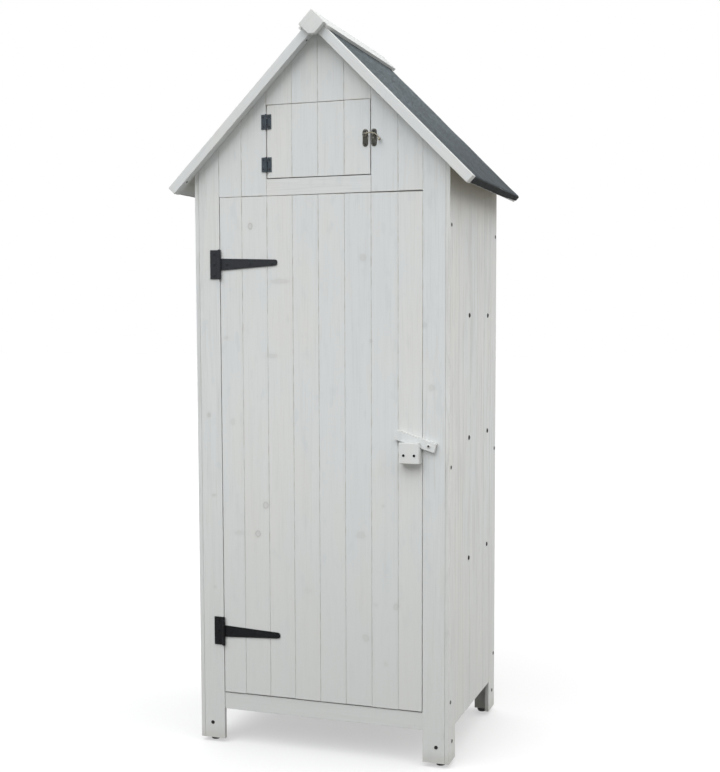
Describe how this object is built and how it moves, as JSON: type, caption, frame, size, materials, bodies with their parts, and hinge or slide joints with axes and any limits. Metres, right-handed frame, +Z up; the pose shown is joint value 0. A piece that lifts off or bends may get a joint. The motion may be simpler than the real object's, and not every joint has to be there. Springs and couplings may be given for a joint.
{
  "type": "garden storage cabinet",
  "caption": "Tall free-standing garden cabinet of white boards on four legs, with a pitched felt roof, a main door closed by a turn bar and a loft door closed by a hook.",
  "frame": {"origin": "on the ground, at the middle of the whole cabinet's width and depth", "axes": "+X to the right seen from the front, +Y towards the back, +Z up; the doors face -Y"},
  "size_m": [0.77, 0.54, 1.79],
  "materials": {
    "painted_wood": "white satin paint over fine grain",
    "inner_wood": "white paint, thin and matt",
    "mineral_felt": "slate grey mineral granules on bitumen sheet",
    "black_ironwork": "black satin",
    "bronzed_brass": "antique bronze",
    "dark_screws": "dark zinc",
    "glide_plastic": "black, matt"
  },
  "bodies": {
    "cabinet": {"back_boards": "painted_wood", "bottom_rail": "painted_wood", "cladding_screws": "dark_screws", "floor_bearers": "inner_wood", "floor_boards": "inner_wood", "frame_fitting_screws": "dark_screws", "front_left_leg_board": "painted_wood", "front_left_post": "inner_wood", "front_rafters": "inner_wood", "front_right_leg_board": "painted_wood", "front_right_post": "inner_wood", "gable_boards_left": "painted_wood", "gable_boards_middle": "painted_wood", "gable_boards_right": "painted_wood", "glides": "glide_plastic", "hinge_pins": "black_ironwork", "left_bargeboard": "painted_wood", "left_ridge_board": "painted_wood", "left_roof_boards": "inner_wood", "left_side_boards": "painted_wood", "left_stile": "painted_wood", "loft_bearers": "inner_wood", "loft_catch_plate": "bronzed_brass", "loft_floor": "inner_wood", "loft_hinge_frame_leaves": "black_ironwork", "lower_hinge_plate": "black_ironwork", "lower_shelf": "inner_wood", "middle_rail": "painted_wood", "middle_shelf": "inner_wood", "peak_block": "painted_wood", "rear_left_leg_board": "painted_wood", "rear_left_post": "inner_wood", "rear_rafters": "inner_wood", "rear_right_leg_board": "painted_wood", "rear_right_post": "inner_wood", "right_bargeboard": "painted_wood", "right_ridge_board": "painted_wood", "right_roof_boards": "inner_wood", "right_side_boards": "painted_wood", "right_stile": "painted_wood", "roof_felt": "mineral_felt", "shelf_battens": "inner_wood", "turn_bar_screw": "dark_screws", "upper_hinge_plate": "black_ironwork", "upper_shelf": "inner_wood"},
    "main_door": {"door_boards": "painted_wood", "door_ledges": "inner_wood", "door_braces": "inner_wood", "upper_hinge_strap": "black_ironwork", "lower_hinge_strap": "black_ironwork", "catch_block": "painted_wood", "catch_spacer": "painted_wood", "door_fitting_screws": "dark_screws"},
    "loft_door": {"loft_door_boards": "painted_wood", "loft_door_ledges": "inner_wood", "loft_hinge_door_leaves": "black_ironwork", "loft_latch_plate": "bronzed_brass", "loft_fitting_screws": "dark_screws"},
    "turn_bar": {"turn_bar": "painted_wood"},
    "loft_hook": {"loft_hook": "bronzed_brass"}
  },
  "joints": [
    {"name": "main_door_hinge", "type": "hinge", "parent": "cabinet", "child": "main_door", "pos_m": [-0.259, -0.2343, 0.749], "axis": [0, 0, -1], "range_deg": [0, 180]},
    {"name": "loft_door_hinge", "type": "hinge", "parent": "cabinet", "child": "loft_door", "pos_m": [-0.132, -0.2329, 1.495], "axis": [0, 0, -1], "range_deg": [0, 120]},
    {"name": "turn_bar_pivot", "type": "hinge", "parent": "cabinet", "child": "turn_bar", "pos_m": [0.277, -0.2349, 0.773], "axis": [0, 1, 0], "range_deg": [0, 253]},
    {"name": "loft_hook_pivot", "type": "hinge", "parent": "loft_door", "child": "loft_hook", "pos_m": [0.1196, -0.23675, 1.4995], "axis": [0, -1, 0], "range_deg": [0, 110]}
  ]
}
